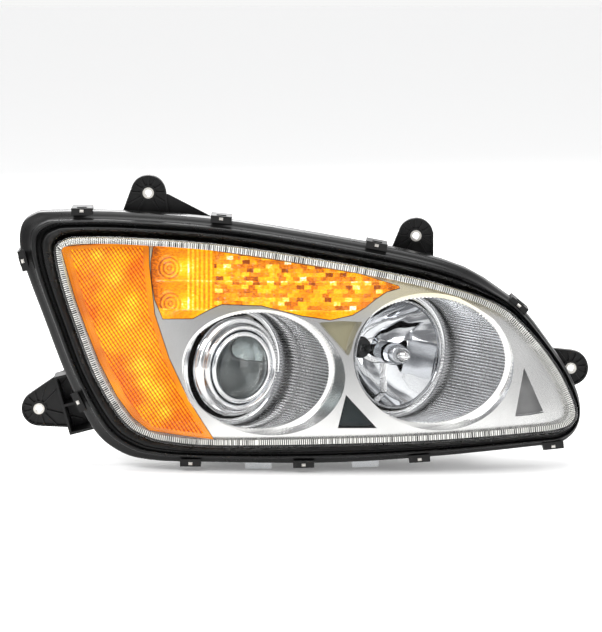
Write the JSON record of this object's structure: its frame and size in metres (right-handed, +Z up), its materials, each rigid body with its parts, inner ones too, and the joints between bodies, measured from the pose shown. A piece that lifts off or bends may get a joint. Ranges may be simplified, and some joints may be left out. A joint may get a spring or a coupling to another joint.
{
  "type": "vehicle headlight assembly",
  "caption": "Swept headlight: black case with bolt ears, clear outer lens, fluted bright bezel, projector low beam, reflector high beam, amber turn lens and side reflex.",
  "frame": {"origin": "axis of the upper outboard ear's bolt hole, half way along the hole", "axes": "+X runs inboard along the lens, -Y faces out of the lens, +Z is up"},
  "size_m": [0.7147, 0.2528, 0.3556],
  "materials": {
    "black_case": "black moulded nylon, fine grain",
    "black_frame": "black satin",
    "clear": "clear hard-coated",
    "black_rubber": "matt",
    "orange_rubber": "matt silicone",
    "steel": "zinc plated",
    "chrome": "vacuum metallised",
    "ring_chrome": "bright",
    "amber_panel": "amber retro-reflective",
    "amber_lens": "amber clear",
    "amber_glass": "amber coated glass",
    "optic_glass": "polished",
    "bulb_glass": "clear quartz",
    "cast": "die cast",
    "dark_steel": "bare",
    "nylon": "natural nylon",
    "dark_plastic": "dark grey",
    "grey_plastic": "grey"
  },
  "bodies": {
    "case": {"housing": "black_case", "lens_frame": "black_frame", "outer_lens": "clear", "lens_seal": "black_rubber", "lens_clips": "black_case", "mount_limiters": "steel", "bezel": "chrome", "bezel_screws": "steel", "side_reflector": "amber_panel", "turn_lens": "amber_lens", "turn_reflector": "chrome", "low_ball_studs": "steel", "high_ball_studs": "steel", "low_gear_case": "dark_plastic", "high_gear_case": "dark_plastic", "breathers": "dark_plastic", "harness": "black_rubber", "harness_grommet": "black_rubber", "connector": "dark_plastic", "connector_seal": "orange_rubber"},
    "low_lamp": {"low_lens": "optic_glass", "low_retainer": "ring_chrome", "low_shroud": "ring_chrome", "low_carrier": "cast", "low_cutoff": "dark_steel", "low_bowl": "chrome"},
    "low_light_source": {"low_bulb": "bulb_glass", "low_bulb_base": "dark_plastic"},
    "high_lamp": {"high_reflector": "chrome", "high_ring": "ring_chrome", "high_shield": "ring_chrome"},
    "high_light_source": {"high_bulb": "bulb_glass", "high_bulb_base": "dark_plastic"},
    "low_screw": {"low_aim_screw": "steel"},
    "low_nut": {"low_aim_nut": "nylon"},
    "low_drive": {"low_aim_pinion": "nylon"},
    "high_screw": {"high_aim_screw": "steel"},
    "high_nut": {"high_aim_nut": "nylon"},
    "high_drive": {"high_aim_pinion": "nylon"},
    "low_access_cap": {"low_cap": "black_case", "low_cap_seal": "black_rubber"},
    "high_access_cap": {"high_cap": "black_case", "high_cap_seal": "black_rubber"},
    "turn_lamp_socket": {"turn_socket": "grey_plastic", "turn_bulb": "amber_glass", "turn_socket_seal": "orange_rubber"},
    "park_lamp_socket": {"park_socket": "grey_plastic", "park_bulb": "amber_glass", "park_socket_seal": "orange_rubber"},
    "side_lamp_socket": {"side_socket": "grey_plastic", "side_bulb": "amber_glass", "side_socket_seal": "orange_rubber"}
  },
  "joints": [
    {"name": "low_aim", "type": "hinge", "parent": "case", "child": "low_lamp", "pos_m": [0.09409, -0.03264, -0.1595], "axis": [0.809, 0.5878, 0], "range_deg": [-2.5, 2.5]},
    {"name": "high_aim", "type": "hinge", "parent": "case", "child": "high_lamp", "pos_m": [0.28511, -0.00552, -0.1385], "axis": [0.809, 0.5878, 0], "range_deg": [-2.5, 2.5]},
    {"name": "low_screw_slide", "type": "slide", "parent": "case", "child": "low_screw", "axis": [0.5878, -0.809, 0], "range_m": [-0.00481, 0.00481]},
    {"name": "low_nut_turn", "type": "hinge", "parent": "case", "child": "low_nut", "pos_m": [0.06235, 0.01105, -0.2675], "axis": [0.5878, -0.809, 0], "range_deg": [-865.19, 865.19]},
    {"name": "low_drive_turn", "type": "hinge", "parent": "case", "child": "low_drive", "pos_m": [0.06776, 0.00361, -0.2675], "axis": [0, 0, 1], "range_deg": [-1730.39, 1730.39]},
    {"name": "high_screw_slide", "type": "slide", "parent": "case", "child": "high_screw", "axis": [0.5878, -0.809, 0], "range_m": [-0.00605, 0.00605]},
    {"name": "high_nut_turn", "type": "hinge", "parent": "case", "child": "high_nut", "pos_m": [0.26748, 0.01875, -0.2745], "axis": [0.5878, -0.809, 0], "range_deg": [-1089.5, 1089.5]},
    {"name": "high_drive_turn", "type": "hinge", "parent": "case", "child": "high_drive", "pos_m": [0.27289, 0.01131, -0.2745], "axis": [0, 0, 1], "range_deg": [-2179.01, 2179.01]},
    {"name": "low_cap_twist", "type": "hinge", "parent": "case", "child": "low_access_cap", "pos_m": [0.02943, 0.05635, -0.2115], "axis": [0.5878, -0.809, 0], "range_deg": [0, 30]},
    {"name": "high_cap_twist", "type": "hinge", "parent": "case", "child": "high_access_cap", "pos_m": [0.22163, 0.08185, -0.1985], "axis": [0.5878, -0.809, 0], "range_deg": [0, 30]},
    {"name": "low_bulb_twist", "type": "hinge", "parent": "low_lamp", "child": "low_light_source", "pos_m": [0.05647, 0.01914, -0.2115], "axis": [0.5878, -0.809, 0], "range_deg": [0, 40]},
    {"name": "high_bulb_twist", "type": "hinge", "parent": "high_lamp", "child": "high_light_source", "pos_m": [0.26278, 0.02522, -0.1985], "axis": [0.5878, -0.809, 0], "range_deg": [0, 40]},
    {"name": "turn_socket_twist", "type": "hinge", "parent": "case", "child": "turn_lamp_socket", "pos_m": [0.03, -0.00825, -0.088], "axis": [0, 1, 0], "range_deg": [0, 45]},
    {"name": "park_socket_twist", "type": "hinge", "parent": "case", "child": "park_lamp_socket", "pos_m": [0.032, -0.01635, -0.126], "axis": [0, 1, 0], "range_deg": [0, 45]},
    {"name": "side_socket_twist", "type": "hinge", "parent": "case", "child": "side_lamp_socket", "pos_m": [-0.022, -0.01448, -0.17], "axis": [0, 1, 0], "range_deg": [0, 45]}
  ],
  "couplings": [
    {"joint": "low_screw_slide", "follows": "low_aim", "m_per_rad": -0.108},
    {"joint": "low_nut_turn", "follows": "low_aim", "ratio": -339.29},
    {"joint": "low_drive_turn", "follows": "low_aim", "ratio": 678.58},
    {"joint": "high_screw_slide", "follows": "high_aim", "m_per_rad": -0.136},
    {"joint": "high_nut_turn", "follows": "high_aim", "ratio": -427.26},
    {"joint": "high_drive_turn", "follows": "high_aim", "ratio": 854.51}
  ]
}
